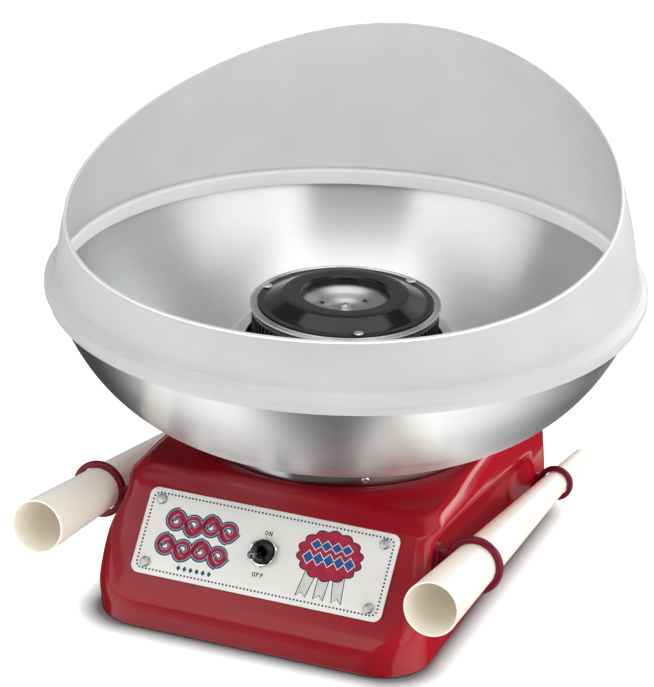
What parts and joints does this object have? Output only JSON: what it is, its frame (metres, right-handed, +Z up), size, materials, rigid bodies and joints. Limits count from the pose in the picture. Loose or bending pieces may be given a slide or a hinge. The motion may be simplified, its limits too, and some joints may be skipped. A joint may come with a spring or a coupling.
{
  "type": "cotton candy machine",
  "caption": "Table-top cotton candy machine: slant-front base with toggle switch, spun metal bowl round a slotted spinner head, tilted splash shield and hollow cones in side rings.",
  "frame": {"origin": "on the table under the feet, on the spin axis of the head", "axes": "+Z up along the spin axis, -Y towards the control panel, +X to the right seen from the front"},
  "size_m": [0.3224, 0.3224, 0.2649],
  "materials": {
    "housing_red": "gloss",
    "black_plastic": "matt",
    "foot_rubber": "matt",
    "screw_steel": "satin",
    "panel_white": "satin",
    "rivet_bright": "bright",
    "bakelite": "matt",
    "switch_black": "gloss",
    "switch_chrome": "bright",
    "collar_steel": "satin",
    "pedestal_steel": "satin",
    "motor_iron": "matt",
    "winding_copper": "varnished",
    "bearing_brass": "satin",
    "carbon": "matt",
    "shaft_steel": "ground",
    "ring_red": "gloss",
    "head_black": "gloss",
    "head_silver": "satin",
    "bowl_steel": "spun satin",
    "shield_frost": "frosted",
    "cone_ivory": "semi-gloss"
  },
  "bodies": {
    "base": {"base_housing": "housing_red", "bottom_cover": "black_plastic", "foot_fl": "foot_rubber", "foot_fr": "foot_rubber", "foot_rl": "foot_rubber", "foot_rr": "foot_rubber", "cover_screw_1": "screw_steel", "cover_screw_2": "screw_steel", "cover_screw_3": "screw_steel", "cover_screw_4": "screw_steel", "control_panel": "panel_white", "panel_rivet_1": "rivet_bright", "panel_rivet_2": "rivet_bright", "panel_rivet_3": "rivet_bright", "panel_rivet_4": "rivet_bright", "switch_body": "bakelite", "switch_bushing": "switch_black", "switch_nut": "switch_chrome", "seat_collar": "collar_steel", "collar_screw_1": "rivet_bright", "collar_screw_2": "rivet_bright", "collar_screw_3": "rivet_bright", "motor_pedestal": "pedestal_steel", "cord_gland": "black_plastic", "terminal_block": "bakelite", "motor_stator": "motor_iron", "stator_coil_upper": "winding_copper", "stator_coil_lower": "winding_copper", "motor_bridge_upper": "screw_steel", "motor_bridge_lower": "screw_steel", "bearing_upper": "bearing_brass", "bearing_lower": "bearing_brass", "brush_block": "bakelite", "brush_lower": "carbon", "brush_upper": "carbon", "cone_ring_front_left": "ring_red", "cone_ring_rear_left": "ring_red", "cone_ring_front_right": "ring_red", "cone_ring_rear_right": "ring_red"},
    "spinner": {"motor_shaft": "shaft_steel", "motor_rotor": "motor_iron", "cooling_fan": "black_plastic", "slip_hub": "bakelite", "slip_ring_lower": "bearing_brass", "slip_ring_upper": "bearing_brass", "head_base": "head_silver", "heater_drum": "head_black", "heater_ribbon": "screw_steel", "head_rim": "head_silver", "head_cover": "head_black", "sugar_plate": "head_silver", "head_screw": "rivet_bright", "head_rivet_1": "rivet_bright", "head_rivet_2": "rivet_bright", "head_rivet_3": "rivet_bright"},
    "bowl": {"bowl": "bowl_steel"},
    "shield": {"splash_shield": "shield_frost"},
    "lever": {"switch_lever": "switch_chrome"},
    "cone_left": {"cone_left": "cone_ivory"},
    "cone_right": {"cone_right": "cone_ivory"}
  },
  "joints": [
    {"name": "head_spin", "type": "hinge", "parent": "base", "child": "spinner", "pos_m": [0, 0, 0.13], "axis": [0, 0, 1], "continuous": true},
    {"name": "bowl_lift", "type": "slide", "parent": "base", "child": "bowl", "axis": [0, 0, 1], "range_m": [0, 0.1]},
    {"name": "shield_lift", "type": "slide", "parent": "bowl", "child": "shield", "axis": [0, 0, 1], "range_m": [0, 0.1]},
    {"name": "switch_toggle", "type": "hinge", "parent": "base", "child": "lever", "pos_m": [0, -0.10967, 0.0473], "axis": [-1, 0, 0], "range_deg": [0, 34]},
    {"name": "cone_left_pull", "type": "slide", "parent": "base", "child": "cone_left", "axis": [-0.0242, -0.99, 0.1392], "range_m": [0, 0.24]},
    {"name": "cone_right_pull", "type": "slide", "parent": "base", "child": "cone_right", "axis": [0.0242, -0.99, 0.1392], "range_m": [0, 0.24]}
  ]
}
